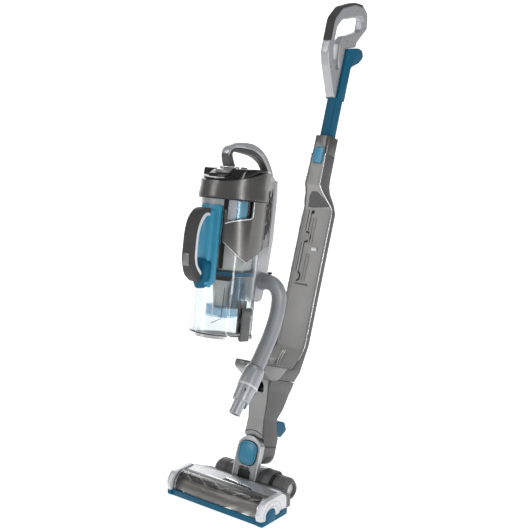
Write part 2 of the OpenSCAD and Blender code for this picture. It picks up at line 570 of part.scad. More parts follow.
// Bin door with its hinge ears at the left and its catch at the right
module bin_door() color("black") at_unit() difference() {
    union() {
        rotate_extrude() polygon(rounded([[0, 0, 0], [bowl_r - 2, 0, 1], [bowl_r + 1, 2, 1],
            [bowl_r + 1, door_t - 2, 1], [bowl_r - 2, door_t, 1], [0, door_t, 0]]));
        stud(door_pin, 4, -9, 9);
        stud(door_pin, 2, -12, 12);
        translate([door_pin[0], -9, 0]) cube([8, 18, door_t]);
    }
    rotate([0, 0, 62]) translate([-6, -bowl_r - 4, -1]) cube([12, 5, 4]);
}

// Lever on the bowl's right side: pressing its top swings the toe away from the door's rim
module bin_latch() color("dimgray") at_unit() rotate([0, 0, -latch_a])
    translate([0, 12, 0]) rotate([90, 0, 0]) linear_extrude(24) difference() {
        polygon(rounded([[bowl_r + 1.6, -2.6, 0.3], [bowl_r + 1.6, -0.6, 0.3], [bowl_r + 2.4, 0.4, 0],
            [bowl_r + 2.4, 66, 0.5], [bowl_r + 5.6, 66, 1], [bowl_r + 9, 60, 2], [bowl_r + 8.4, 53, 2],
            [bowl_r + 5.8, 48, 4], [bowl_r + 5.8, -2.6, 1]]));
        translate([latch_pin_r, latch_pin_u]) circle(1.2 + fit);
    }

// ---- hose and nozzle, in the portable unit's frame ----

function unit_vec(v) = v / norm(v);
// Ring of a swept tube about point i of the route, built on a fixed side direction
function ring(route, i, r, n) = let (
    a = route[max(i - 1, 0)], b = route[min(i + 1, len(route) - 1)], t = unit_vec(b - a),
    u = unit_vec(cross(t, [0.2, 0.8, 0.6])), v = cross(t, u))
    [for (k = [0:n - 1]) route[i] + r * (cos(360 * k / n) * u + sin(360 * k / n) * v)];

module tube(route, r, n = 12) {
    last = len(route) - 1;
    points = [for (i = [0:last]) each ring(route, i, r, n)];
    sides = [for (i = [0:last - 1], k = [0:n - 1])
        [i * n + k, i * n + (k + 1) % n, (i + 1) * n + (k + 1) % n, (i + 1) * n + k]];
    ends = [[for (k = [n - 1:-1:0]) k], [for (k = [0:n - 1]) last * n + k]];
    polyhedron(points, concat(sides, ends));
}

module hose() color("silver") at_unit() tube([for (p = HOSE) [p[0], -p[1], p[2]]], hose_d / 2);

// Places children on the hose's lower end, with +Z along the nozzle
module at_nozzle() at_unit() let (p = HOSE[len(HOSE) - 1])
    translate([p[0], -p[1], p[2]]) rotate([180 - atan2(NOZZLE_DIR[1], -NOZZLE_DIR[2]), 0, 0]) children();

module hose_collar() color("silver") at_nozzle() difference() {
    translate([0, 0, 0.4]) rotate_extrude() polygon(rounded([[0, 0, 0], [19, 0, 2], [21.5, 8, 4], [22, 44, 2],
        [0, 44, 0]]));
    translate([0, 0, 30]) cylinder(h = 20, r = 15);
    translate([0, 0, -1]) cylinder(h = 3.4, r = hose_d / 2 + gap);
}

module nozzle() color("gainsboro") at_nozzle() difference() {
    union() {
        translate([0, 0, 44.6]) cylinder(h = 34, r1 = 21, r2 = 18);
        translate([0, 0, 78]) cylinder(h = 30, r = 12.5);
    }
    translate([0, 0, 44]) cylinder(h = 70, r = 9);
    translate([-6, -24, 50]) cube([12, 10, 32]);
    translate([-9, nozzle_pin[0], nozzle_pin[1]]) rotate([0, 90, 0]) cylinder(h = 18, r = 1.3 + fit);
}

// Sprung lever on the back of the nozzle that locks it into the neck
module nozzle_latch() color("teal") at_nozzle() {
    translate([-8.5, nozzle_pin[0], nozzle_pin[1]]) rotate([0, 90, 0]) cylinder(h = 17, r = 1.3);
    translate([-5, 0, 0]) rotate([90, 0, 90]) linear_extrude(10) polygon(rounded([[-25, 40, 2],
        [-30, 42, 2], [-27, 60, 4], [-20.5, 76, 2], [-20.5, 86, 2], [-16.5, 88, 1], [-15.5, 76, 1],
        [-15.5, 56, 1], [-22, 56, 2]]));
}

head_shell();
sole_plate();
glide_pad();
head_cover();
rear_cover();
head_window();
front_bumper();
end_cap_left();
end_cap_right();
cap_bumpers();
brush_roll();
brush_bristles();
brush_motor();
motor_pulley();
drive_belt();
rear_wheel_left();
rear_wheel_right();
front_rollers();
head_pins();
yoke();
swivel_disc();
neck();
neck_panel();
suction_duct();
foot_pedal();
shelf();
dock_toe();
tray_back();
tray_front();
dock_rails();
dock_hook();
release_button();
wand_collar();
latch_button();
upper_tube();
handle_frame();
handle_grip();
housing();
top_panel();
power_switch();
carry_handle();
back_piece();
suction_motor();
impeller();
battery_pack();
circuit_board();
filter_cup();
cyclone();
dust_bowl();
bowl_panel();
bowl_grip();
bowl_button();
bin_door();
bin_latch();
hose();
hose_collar();
nozzle();
nozzle_latch();
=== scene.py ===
import json
import math
import random

import bmesh
import bpy
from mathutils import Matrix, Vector

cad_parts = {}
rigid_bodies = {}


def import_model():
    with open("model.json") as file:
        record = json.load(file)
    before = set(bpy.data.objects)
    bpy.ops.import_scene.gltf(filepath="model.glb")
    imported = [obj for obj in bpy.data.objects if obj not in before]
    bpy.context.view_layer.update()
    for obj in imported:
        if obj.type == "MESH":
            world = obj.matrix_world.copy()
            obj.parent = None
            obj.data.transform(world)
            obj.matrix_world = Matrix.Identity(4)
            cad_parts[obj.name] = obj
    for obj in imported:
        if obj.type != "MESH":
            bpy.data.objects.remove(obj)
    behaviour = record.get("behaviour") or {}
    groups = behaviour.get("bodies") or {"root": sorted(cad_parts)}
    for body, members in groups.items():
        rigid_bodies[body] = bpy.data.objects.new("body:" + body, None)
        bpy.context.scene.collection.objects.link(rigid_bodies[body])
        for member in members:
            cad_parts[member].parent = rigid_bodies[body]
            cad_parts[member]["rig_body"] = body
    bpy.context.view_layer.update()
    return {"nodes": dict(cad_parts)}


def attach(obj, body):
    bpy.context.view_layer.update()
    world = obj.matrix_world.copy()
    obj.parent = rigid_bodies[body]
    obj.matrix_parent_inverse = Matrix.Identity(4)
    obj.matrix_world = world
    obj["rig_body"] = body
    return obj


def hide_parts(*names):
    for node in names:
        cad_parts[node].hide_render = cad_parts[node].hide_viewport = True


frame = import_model()
nodes = frame["nodes"]
rng = random.Random(7)

# ---- camera -------------------------------------------------------------------------------

CAMERA_AT = Vector((1.2698, -1.5507, 0.9273))
LOOK_AT = Vector((0.0, 0.060, 0.510))
cam_data = bpy.data.cameras.new("camera")
cam_data.sensor_width = 36
cam_data.lens = 65.2
camera = bpy.data.objects.new("camera", cam_data)
camera.location = CAMERA_AT
camera.rotation_euler = (LOOK_AT - CAMERA_AT).to_track_quat("-Z", "Y").to_euler()
bpy.context.scene.collection.objects.link(camera)
bpy.context.scene.camera = camera

# ---- the object's own coordinates, in millimetres -----------------------------------------

LEAN = math.radians(19)
UNIT_LEAN = math.radians(9.3)
PIVOT = Vector((0, 20, 45))
UNIT_BASE = Vector((0, -91, 386))


def head_pt(x, f, z):
    return Vector((x, -f, z)) / 1000


def tilted(origin, lean, x, f, z):
    c, s = math.cos(lean), math.sin(lean)
    return Vector((x, origin.y + s * z - c * f, origin.z + c * z + s * f)) / 1000


def spine_pt(x, h, s):
    return tilted(PIVOT, LEAN, x, h, s)


SPINE_FORWARD = tuple(spine_pt(0, 1, 0) - spine_pt(0, 0, 0))


def unit_pt(x, m, u):
    return tilted(UNIT_BASE, UNIT_LEAN, x, m, u)


def polar_pt(r, deg, u):
    a = math.radians(deg)
    return unit_pt(r * math.cos(a), r * math.sin(a), u)


HOSE = [(18.4, -100, 114), (25, -100, 114), (32, -100, 114), (39, -100.5, 114), (46, -101.5, 112),
        (52, -103, 108), (57, -105, 102), (60.5, -107, 94), (62, -108.5, 84), (62, -109, 72),
        (62, -108, 59), (62, -105.5, 45), (62, -101.5, 31), (62, -96.5, 17), (62.5, -90, 3),
        (63, -82, -11), (63.5, -73, -25), (64.5, -63.5, -39), (65.5, -53.5, -53), (66, -47.5, -61.5)]
NOZZLE_DIR = Vector((0, 0.53, -0.848)).normalized()


def nozzle_pt(x, y, z):
    """x across, y behind the nozzle, z along it from the hose's lower end."""
    back = Vector((0, -NOZZLE_DIR.z, NOZZLE_DIR.y))          # in (x, forward, up)
    p = Vector(HOSE[-1]) + NOZZLE_DIR * z + Vector((x, 0, 0)) - back * y
    return unit_pt(*p)


# ---- materials ----------------------------------------------------------------------------

def rgb(r, g, b, a=1.0):
    def lin(c):
        c /= 255
        return c / 12.92 if c <= 0.04045 else ((c + 0.055) / 1.055) ** 2.4
    return (lin(r), lin(g), lin(b), a)


def shader(name):
    mat = bpy.data.materials.new(name)
    mat.use_nodes = True
    tree = mat.node_tree
    tree.nodes.clear()
    out = tree.nodes.new("ShaderNodeOutputMaterial")
    bsdf = tree.nodes.new("ShaderNodeBsdfPrincipled")
    tree.links.new(bsdf.outputs[0], out.inputs[0])
    return mat, tree, bsdf


def noise(tree, coord, scale, detail=3.0, rough=0.5):
    n = tree.nodes.new("ShaderNodeTexNoise")
    n.inputs["Scale"].default_value = scale
    n.inputs["Detail"].default_value = detail
    n.inputs["Roughness"].default_value = rough
    tree.links.new(coord, n.inputs["Vector"])
    return n.outputs["Fac"]


def ramp(tree, fac, stops):
    r = tree.nodes.new("ShaderNodeValToRGB")
    while len(r.color_ramp.elements) < len(stops):
        r.color_ramp.elements.new(0.5)
    for e, (pos, colour) in zip(r.color_ramp.elements, stops):
        e.position, e.color = pos, colour
    tree.links.new(fac, r.inputs[0])
    return r.outputs[0]


def spread(tree, fac, low, high):
    m = tree.nodes.new("ShaderNodeMapRange")
    m.inputs["From Min"].default_value = 0.3
    m.inputs["From Max"].default_value = 0.7
    m.inputs["To Min"].default_value = low
    m.inputs["To Max"].default_value = high
    tree.links.new(fac, m.inputs["Value"])
    return m.outputs["Result"]


def tone(colour, k):
    return tuple(min(1.0, c * k) for c in colour[:3]) + (1.0,)


def moulded(name, colour, rough=0.4, metallic=0.0, grain=900, depth=0.00006, vary=0.06, wear=0.12,
            coat=0.0, coat_rough=0.08, specular=0.5, grain_strength=0.35):
    """A moulded or painted surface: slow colour drift, lighter worn edges, uneven gloss, fine grain."""
    mat, tree, bsdf = shader(name)
    coord = tree.nodes.new("ShaderNodeTexCoord").outputs["Object"]
    drift = noise(tree, coord, 14, 4)
    base = ramp(tree, drift, [(0.3, tone(colour, 1 - vary)), (0.7, tone(colour, 1 + vary))])
    if wear:
        geo = tree.nodes.new("ShaderNodeNewGeometry")
        edge = ramp(tree, geo.outputs["Pointiness"], [(0.52, (0, 0, 0, 1)), (0.60, (wear, wear, wear, 1))])
        mix = tree.nodes.new("ShaderNodeMix")
        mix.data_type = "RGBA"
        tree.links.new(edge, mix.inputs["Factor"])
        tree.links.new(base, mix.inputs["A"])
        mix.inputs["B"].default_value = tone(colour, 1.9)
        base = mix.outputs["Result"]
    tree.links.new(base, bsdf.inputs["Base Color"])
    tree.links.new(spread(tree, noise(tree, coord, 55, 5, 0.6), rough * 0.88, rough * 1.14),
                   bsdf.inputs["Roughness"])
    bump = tree.nodes.new("ShaderNodeBump")
    bump.inputs["Strength"].default_value = grain_strength
    bump.inputs["Distance"].default_value = depth
    tree.links.new(noise(tree, coord, grain, 2), bump.inputs["Height"])
    tree.links.new(bump.outputs[0], bsdf.inputs["Normal"])
    bsdf.inputs["Metallic"].default_value = metallic
    bsdf.inputs["Specular IOR Level"].default_value = specular
    bsdf.inputs["Coat Weight"].default_value = coat
    bsdf.inputs["Coat Roughness"].default_value = coat_rough
    return mat


def clear(name, tint, rough=0.04, ior=1.46, coat=0.6):
    """Clear moulded plastic with faint drift in its gloss."""
    mat, tree, bsdf = shader(name)
    coord = tree.nodes.new("ShaderNodeTexCoord").outputs["Object"]
    tree.links.new(ramp(tree, noise(tree, coord, 9), [(0.3, tone(tint, 0.97)), (0.7, tone(tint, 1.0))]),
                   bsdf.inputs["Base Color"])
    tree.links.new(spread(tree, noise(tree, coord, 40, 4), rough * 0.7, rough * 1.5),
                   bsdf.inputs["Roughness"])
    bump = tree.nodes.new("ShaderNodeBump")
    bump.inputs["Strength"].default_value = 0.15
    bump.inputs["Distance"].default_value = 0.0002
    tree.links.new(noise(tree, coord, 25, 1), bump.inputs["Height"])
    tree.links.new(bump.outputs[0], bsdf.inputs["Normal"])
    bsdf.inputs["IOR"].default_value = ior
    bsdf.inputs["Transmission Weight"].default_value = 1.0
    bsdf.inputs["Coat Weight"].default_value = coat
    bsdf.inputs["Coat Roughness"].default_value = 0.02
    return mat


MAT = {
    "titanium": moulded("titanium", rgb(100, 99, 98), 0.3, 0.75, coat=0.2, coat_rough=0.2),
    "dark_shell": moulded("dark_shell", rgb(92, 92, 93), 0.42, 0.15),
    "neck_dark": moulded("neck_dark", rgb(86, 86, 87), 0.45, 0.1),
    "tray": moulded("tray", rgb(150, 149, 148), 0.45, 0.2),
    "panel": moulded("panel", rgb(150, 150, 149), 0.45, 0.25),
    "silver": moulded("silver", rgb(172, 173, 177), 0.3, 0.45, coat=0.3, coat_rough=0.12, wear=0.06),
    "hose_silver": moulded("hose_silver", rgb(146, 149, 154), 0.38, 0.25, coat=0.1, wear=0.03),
    "nozzle_silver": moulded("nozzle_silver", rgb(160, 163, 168), 0.34, 0.35, coat=0.2),
    "white": moulded("white", rgb(208, 210, 215), 0.28, 0.1, coat=0.3, wear=0.0),
    "chrome": moulded("chrome", rgb(238, 238, 240), 0.14, 0.85, wear=0.0, vary=0.02),
    "teal": moulded("teal", rgb(50, 138, 170), 0.34, 0.0, coat=0.3, coat_rough=0.12, wear=0.08),
    "teal_dark": moulded("teal_dark", rgb(12, 86, 114), 0.42, 0.0, wear=0.06, specular=0.2),
    "soft_black": moulded("soft_black", rgb(52, 52, 53), 0.62, 0.0, grain=420, depth=0.0003, wear=0.06),
    "black_gloss": moulded("black_gloss", rgb(26, 26, 27), 0.16, 0.0, coat=0.25, coat_rough=0.05, wear=0.04,
                           specular=0.25),
    "black": moulded("black", rgb(20, 20, 21), 0.5, 0.0, wear=0.03),
    "door_black": moulded("door_black", rgb(18, 18, 19), 0.4, 0.0, wear=0.03, specular=0.12),
    "vent": moulded("vent", rgb(24, 24, 24), 0.6, 0.0, wear=0.0, specular=0.2),
    "shelf": moulded("shelf", rgb(118, 118, 118), 0.34, 0.2, coat=0.2),
    "liner": moulded("liner", rgb(74, 73, 73), 0.45, 0.0, wear=0.06),
    "wheel": moulded("wheel", rgb(100, 100, 101), 0.5, 0.05),
    "hub": moulded("hub", rgb(198, 196, 198), 0.4, 0.1, wear=0.0),
    "pale": moulded("pale", rgb(200, 199, 196), 0.45, 0.0, wear=0.02),
    "brush_core": moulded("brush_core", rgb(222, 220, 217), 0.5, 0.0, wear=0.03),
    "bristle": moulded("bristle", rgb(206, 204, 201), 0.75, 0.0, grain=1500, depth=0.0006, wear=0.0,
                       grain_strength=0.8),
    "metal": moulded("metal", rgb(176, 176, 178), 0.28, 0.9, wear=0.05),
    "board": moulded("board", rgb(30, 86, 52), 0.5, 0.0),
    "teal_light": moulded("teal_light", rgb(84, 164, 196), 0.3, 0.1, coat=0.3, wear=0.0),
    "display": moulded("display", rgb(124, 124, 124), 0.25, 0.0, coat=0.5, wear=0.0),
    "led": moulded("led", rgb(170, 180, 96), 0.3, 0.0, wear=0.0),
    "frost": moulded("frost", rgb(204, 202, 198), 0.5, 0.0, wear=0.0),
    "bowl": clear("bowl", rgb(238, 242, 244), 0.02, 1.2),
    "cup": clear("cup", rgb(184, 208, 220), 0.08, 1.15),
    # pale frosted clear plastic, used only for the sheet inside the window that paints a reflection
    "painted_sheen_veil": clear("painted_sheen_veil", rgb(238, 236, 233), 0.5, 1.35, 0.0),
    "smoke": clear("smoke", rgb(236, 236, 236), 0.03, 1.12),
}

# ---- mesh tools ---------------------------------------------------------------------------


def bake(obj):
    """Applies every modifier."""
    deps = bpy.context.evaluated_depsgraph_get()
    mesh = bpy.data.meshes.new_from_object(obj.evaluated_get(deps))
    obj.modifiers.clear()
    old = obj.data
    obj.data = mesh
    bpy.data.meshes.remove(old)
    return obj


def smooth(obj, angle=35):
    mesh = obj.data
    for p in mesh.polygons:
        p.use_smooth = True
    bm = bmesh.new()
    bm.from_mesh(mesh)
    limit = math.radians(angle)
    for e in bm.edges:
        if len(e.link_faces) == 2:
            e.smooth = e.calc_face_angle(0) < limit
    bm.to_mesh(mesh)
    bm.free()
    return obj


def finish_piece(obj, mat, body, angle=35):
    obj.data.materials.clear()
    obj.data.materials.append(MAT[mat])
    smooth(obj, angle)
    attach(obj, body)
    return obj


def from_bmesh(name, bm):
    bmesh.ops.recalc_face_normals(bm, faces=bm.faces)
    mesh = bpy.data.meshes.new(name)
    bm.to_mesh(mesh)
    bm.free()
    obj = bpy.data.objects.new(name, mesh)
    bpy.context.scene.collection.objects.link(obj)
    return obj


def copied(node, name):
    """The CAD node's solid as a welded mesh with whole flat faces."""
    bm = bmesh.new()
    bm.from_mesh(nodes[node].data)
    bmesh.ops.remove_doubles(bm, verts=bm.verts, dist=0.00002)
    bmesh.ops.dissolve_limit(bm, angle_limit=math.radians(1.0), verts=bm.verts, edges=bm.edges)
    return from_bmesh(name, bm)


def bevelled(obj, width, segments=2, angle=28):
    mod = obj.modifiers.new("bevel", "BEVEL")
    mod.width = width / 1000
    mod.segments = segments
    mod.limit_method = "ANGLE"
    mod.angle_limit = math.radians(angle)
    mod.use_clamp_overlap = True
    mod.miter_outer = "MITER_ARC"
    return bake(obj)


def softened(obj, voxel, passes, inflate=0.0):
    mod = obj.modifiers.new("remesh", "REMESH")
    mod.mode = "VOXEL"
    mod.voxel_size = voxel / 1000
    bake(obj)
    if inflate:
        bm = bmesh.new()
        bm.from_mesh(obj.data)
        bm.normal_update()
        moves = [v.normal * inflate / 1000 for v in bm.verts]
        for v, d in zip(bm.verts, moves):
            v.co += d
        bm.to_mesh(obj.data)
        bm.free()
    mod = obj.modifiers.new("smooth", "SMOOTH")
    mod.factor = 0.5
    mod.iterations = passes
    return bake(obj)


def body_of(node):
    return nodes[node]["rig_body"]


def hard(node, mat, width=0.8, segments=2, angle=28, shade=35):
    """A bevelled piece in place of a CAD node."""
    obj = bevelled(copied(node, node + "_shell"), width, segments, angle)
    finish_piece(obj, mat, body_of(node), shade)
    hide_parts(node)
    return obj


def soft(node, mat, voxel=1.2, passes=6, inflate=0.3):
    """A rounded piece in place of a CAD node."""
    obj = softened(copied(node, node + "_form"), voxel, passes, inflate)
    finish_piece(obj, mat, body_of(node), 80)
    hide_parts(node)
    return obj


def repaint(node, mat):
    nodes[node].data.materials.clear()
    nodes[node].data.materials.append(MAT[mat])


def prism(name, outline, place, lo, hi, mat, body, bevel=0.5, axis=0):
    """An outline of (a, b) pairs made solid between lo and hi along the given axis of place()."""
    bm = bmesh.new()

    def at(p, t):
        c = list(p)
        c.insert(axis, t)
        return place(*c)
    rings = [[bm.verts.new(at(p, t)) for p in outline] for t in (lo, hi)]
    n = len(outline)
    bm.faces.new(rings[0])
    bm.faces.new(rings[1])
    for i in range(n):
        j = (i + 1) % n
        bm.faces.new((rings[0][i], rings[0][j], rings[1][j], rings[1][i]))
    obj = from_bmesh(name, bm)
    if bevel:
        bevelled(obj, bevel, 2, 25)
    return finish_piece(obj, mat, body)


def swept(name, points, section, mat, body, up=None, closed_ends=True, angle=50):
    """A section of (side, normal) pairs in mm swept along world points; up(i) gives the normal."""
    bm = bmesh.new()
    rings = []
    last = len(points) - 1
    for i, p in enumerate(points):
        t = (points[min(i + 1, last)] - points[max(i - 1, 0)]).normalized()
        n = up(i) if callable(up) else Vector(up or (0, 0, 1))
        side = t.cross(n).normalized()
        n = side.cross(t).normalized()
        rings.append([bm.verts.new(p + (side * a + n * b) / 1000) for a, b in section])
    k = len(section)
    for i in range(last):
        for j in range(k):
            q = (j + 1) % k
            bm.faces.new((rings[i][j], rings[i][q], rings[i + 1][q], rings[i + 1][j]))
    if closed_ends:
        bm.faces.new(rings[0])
        bm.faces.new(rings[-1])
    obj = from_bmesh(name, bm)
    return finish_piece(obj, mat, body, angle)


def circle(r, n=24, squash=1.0):
    return [(r * math.cos(2 * math.pi * i / n), squash * r * math.sin(2 * math.pi * i / n)) for i in range(n)]


def turned(name, profile, place, mat, body, n=96, a0=0.0, a1=360.0, angle=40):
    """A profile of (radius, height) pairs turned about place's own up axis: place(r, degrees, height)."""
    bm = bmesh.new()
    full = abs(a1 - a0 - 360) < 0.01
    steps = n if full else n + 1
    rings = [[bm.verts.new(place(r, a0 + (a1 - a0) * i / n, z)) for r, z in profile] for i in range(steps)]
    k = len(profile)
    for i in range(n):
        a, b = rings[i], rings[(i + 1) % steps]
        for j in range(k):
            q = (j + 1) % k
            bm.faces.new((a[j], a[q], b[q], b[j]))
    if not full:
        bm.faces.new(rings[0])
        bm.faces.new(rings[-1])
    bmesh.ops.remove_doubles(bm, verts=bm.verts, dist=1e-7)
    obj = from_bmesh(name, bm)
    return finish_piece(obj, mat, body, angle)


def catmull(points, per=4):
    pts = [Vector(p) for p in points]
    out = []
    for i in range(len(pts) - 1):
        p0, p1, p2, p3 = pts[max(i - 1, 0)], pts[i], pts[i + 1], pts[min(i + 2, len(pts) - 1)]
        for k in range(per):
            t = k / per
            out.append(0.5 * (2 * p1 + (p2 - p0) * t + (2 * p0 - 5 * p1 + 4 * p2 - p3) * t * t
                              + (3 * p1 - p0 - 3 * p2 + p3) * t ** 3))
    out.append(pts[-1])
    return out


# ---- hose ---------------------------------------------------------------------------------

HOSE_R = 16.5
hose_mm = catmull(HOSE, 12)
hose_line = [unit_pt(*p) for p in hose_mm]


def ribbed_hose():
    pitch = 2.6
    bm = bmesh.new()
    rings = []
    path = []
    run = 0.0
    last = len(hose_line) - 1
    up = Vector((0.2, -0.8, 0.6))
    stations = []
    for i in range(last):
        a, b = hose_line[i], hose_line[i + 1]
        steps = max(1, round((b - a).length * 1000 / (pitch / 4)))
        for k in range(steps):
            stations.append(a.lerp(b, k / steps))
    stations.append(hose_line[-1])
    for i, p in enumerate(stations):
        t = (stations[min(i + 2, len(stations) - 1)] - stations[max(i - 2, 0)]).normalized()
        side = t.cross(up).normalized()
        n = side.cross(t)
        if i:
            run += (p - stations[i - 1]).length * 1000
        r = HOSE_R - 0.28 + 0.28 * math.cos(2 * math.pi * run / pitch)
        scale = r / HOSE_R / 1000
        rings.append([bm.verts.new(p + (side * a + n * b) * scale) for a, b in circle(HOSE_R, 40)])
        path.append(p)
    for i in range(len(rings) - 1):
        for j in range(40):
            q = (j + 1) % 40
            bm.faces.new((rings[i][j], rings[i][q], rings[i + 1][q], rings[i + 1][j]))
    bm.faces.new(rings[0])
    bm.faces.new(rings[-1])
    return from_bmesh("ribbed_hose", bm), path


hose, hose_path = ribbed_hose()
finish_piece(hose, "hose_silver", "portable_unit", 75)
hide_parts("hose")

# ---- floor head ---------------------------------------------------------------------------

hard("head_shell", "dark_shell", 0.7)
hard("sole_plate", "dark_shell", 0.5)
repaint("glide_pad", "soft_black")
soft("head_cover", "silver", 1.1, 3, 0.1)
hard("rear_cover", "dark_shell", 0.9)
hard("head_window", "smoke", 0.5)
hard("front_bumper", "teal_dark", 0.9)
hard("end_cap_left", "white", 2.4, 4)
hard("end_cap_right", "white", 2.4, 4)
hard("cap_bumpers", "teal_dark", 1.6, 3)
repaint("brush_roll", "brush_core")
repaint("brush_motor", "metal")
repaint("motor_pulley", "black")
repaint("drive_belt", "soft_black")
repaint("front_rollers", "soft_black")
repaint("head_pins", "metal")
hard("rear_wheel_left", "wheel", 0.8, 3)
hard("rear_wheel_right", "wheel", 0.8, 3)

BRUSH = (85, 23.3)


def brush_tufts():
    """Two opposed spiral rows of tufts, each tuft a small bent bundle."""
    bm = bmesh.new()
    for row in range(6):
        for k in range(105):
            x = -99 + 2 * k
            turn = math.radians(60 * row + 150 * abs(x) / 110)
            width, lean = 1.05, rng.uniform(-0.06, 0.06)
            for lo, hi, w0, w1 in ((13, 18, 1.0, 1.0), (18, 22.4, 1.0, 1.25)):
                quad = []
                for r, w in ((lo, w0), (hi, w1)):
                    for da, dx in ((-w, -width), (w, -width), (w, width), (-w, width)):
                        a = turn + lean * (r - 13) / 10 + da * 0.75 / r
                        quad.append(bm.verts.new(head_pt(x + dx * w, BRUSH[0] + r * math.cos(a),
                                                         BRUSH[1] + r * math.sin(a))))
                for f in ((0, 1, 2, 3), (4, 5, 6, 7), (0, 1, 5, 4), (1, 2, 6, 5), (2, 3, 7, 6), (3, 0, 4, 7)):
                    bm.faces.new([quad[i] for i in f])
    obj = from_bmesh("brush_tufts", bm)
    finish_piece(obj, "bristle", "brush", 60)
    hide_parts("brush_bristles")
    return obj


brush_tufts()


def painted_window_shade():
    """Dark strip behind the top of the window: painted shade standing in for the shaded inside of the head
    there.
    """
    def place(r, deg, x):
        a = math.radians(deg)
        return head_pt(x, 85 + r * math.cos(a), 18 + r * math.sin(a))
    turned("painted_window_shade", [(25.0, -116), (25.8, -116), (25.8, 116), (25.0, 116)], place, "dark_shell",
           "floor_head", 10, 62, 92)


painted_window_shade()


def painted_window_sheen():
    """Pale frosted sheet low inside the window: a painted reflection standing in for the pale sheen there,
    which also dims the brush behind it.
    """
    def place(r, deg, x):
        a = math.radians(deg)
        return head_pt(x, 85 + r * math.cos(a), 20 + r * math.sin(a))
    turned("painted_window_sheen", [(27.3, -114), (27.7, -114), (27.7, 114), (27.3, 114)], place, "painted_sheen_veil",
           "floor_head", 12, -6, 52)


painted_window_sheen()

# ---- head details -------------------------------------------------------------------------

CAP_OUT = 134                                 # outer face of an end cap


def both_sides(make):
    for side in (-1, 1):
        make(side)


def cap_arches(side):
    """Raised arches on an end cap's outer face, and the teal latch under them."""
    tag = "right" if side > 0 else "left"
    x = side * (CAP_OUT + 0.1)
    for k, r in enumerate((31, 21)):
        arch = [head_pt(x, 84 + r * math.cos(math.radians(a)), 17 + r * 0.98 * math.sin(math.radians(a)))
                for a in range(0, 181, 8)]
        swept(f"cap_arch_{tag}_{k}", arch, circle(0.5, 8), "silver", "floor_head", up=(side, 0, 0))
    latch = [(76, 5), (76, 24), (79, 31), (85, 34), (96, 34), (103, 31), (107, 24), (107, 5)]
    prism(f"cap_latch_{tag}", latch, head_pt, x - side * 1.2, x + side * 1.7, "teal_dark", "floor_head", 0.8)
    rear = [(36, 5), (36, 17), (57, 19), (66, 11), (75, 11), (75, 5)]
    prism(f"cap_rear_{tag}", rear, head_pt, x - side * 1.2, x + side * 1.3, "teal_dark", "floor_head", 0.6)


both_sides(cap_arches)


def cover_mark(name, outline, mat, lift, base=50.6):
    """A thin shape on top of the head, outlined in (x, forward)."""
    prism(name, outline, head_pt, base, base + lift, mat, "floor_head", 0.15, axis=2)


def bezel(side):
    """Dark frame round an end of the window, with a fine bright line beside it."""
    tag = "right" if side > 0 else "left"
    for k, (x, w, mat, lift) in enumerate(((118.2, 4.6, "dark_shell", 0.4), (115.2, 0.9, "chrome", 0.6))):
        points = [head_pt(side * x, 85 + (30.5 + lift) * math.cos(math.radians(a)),
                          21 + (30.5 + lift) * math.sin(math.radians(a))) for a in range(-12, 91, 6)]
        flat = [(-w / 2, -0.8), (w / 2, -0.8), (w / 2, 0.5), (-w / 2, 0.5)]
        swept(f"bezel_{tag}_{k}", points, flat, mat, "floor_head",
              up=lambda i, q=points: (q[i] - head_pt(side * x, 85, 21)).normalized())


both_sides(bezel)
prism("window_rear_frame", [(83.6, 50.2), (83.6, 51.4), (78, 52.2), (74, 51.6), (74, 50)], head_pt,
      -117, 117, "dark_shell", "floor_head", 0.3)
cover_mark("cover_strip", [(-22, 77), (-15, 59), (58, 66), (80, 79), (65, 78), (20, 82)], "door_black", 0.5)
cover_mark("cover_ridge", [(-16, 55), (-15, 58.5), (58, 65.5), (61, 63)], "chrome", 0.9)
for k, x in enumerate((8, 30)):
    cover_mark(f"cover_contact_{k}", [(x, 70), (x + 12, 71), (x + 13, 76), (x + 3, 76)], "pale", 0.8)
cover_mark("rear_groove", [(-104, 33.8), (-104, 34.8), (104, 34.8), (104, 33.8)], "black", 0.2, 48.2)
prism("trim_line", [(73.6, 50.8), (73.6, 51.7), (71.8, 51.9), (71.8, 50.8)], head_pt, -60, 60,
      "chrome", "floor_head", 0.2)
for k, x in enumerate((22, 30)):
    prism(f"head_contact_{k}", [(66, 50.8), (66, 52.1), (61, 52.1), (61, 50.8)], head_pt, x, x + 4, "metal",
          "floor_head", 0.2)


WHEEL_AT = (-23, 26)                          # wheel axis: forward, up
KNUCKLE_S = 42                                # swivel axis, along the spine


def wheel_hub(side):
    tag = "right" if side > 0 else "left"

    def place(r, deg, z):
        a = math.radians(deg)
        return head_pt(side * z, WHEEL_AT[0] + r * math.cos(a), WHEEL_AT[1] + r * math.sin(a))
    turned(f"wheel_hub_{tag}", [(0, 95.1), (13.6, 95.1), (13.6, 96.0), (12, 96.6), (4, 96.9), (0, 96.9)],
           place, "hub", f"wheel_{tag}", 48)
    turned(f"wheel_tread_{tag}", [(25.6, 71), (26.02, 71.4), (26.02, 73), (25.6, 73.4)], place, "black",
           f"wheel_{tag}", 64)


both_sides(wheel_hub)


def pod_slot(side):
    """Dark slot between a wheel and the pod that carries it."""
    tag = "right" if side > 0 else "left"
    points = []
    for deg in range(20, 151, 10):
        a = math.radians(deg)
        points.append(head_pt(side * 61.2, WHEEL_AT[0] + 27.0 * math.cos(a), 27 + 27.0 * math.sin(a)))
    swept(f"pod_slot_{tag}", points, circle(1.3, 8), "black", "floor_head", up=(side, 0, 0))


both_sides(pod_slot)

# ---- yoke and neck ------------------------------------------------------------------------

hard("yoke", "silver", 2.2, 3)
CORNER = [(0, 1), (0.383, 0.924), (0.707, 0.707), (0.924, 0.383), (1, 0)]


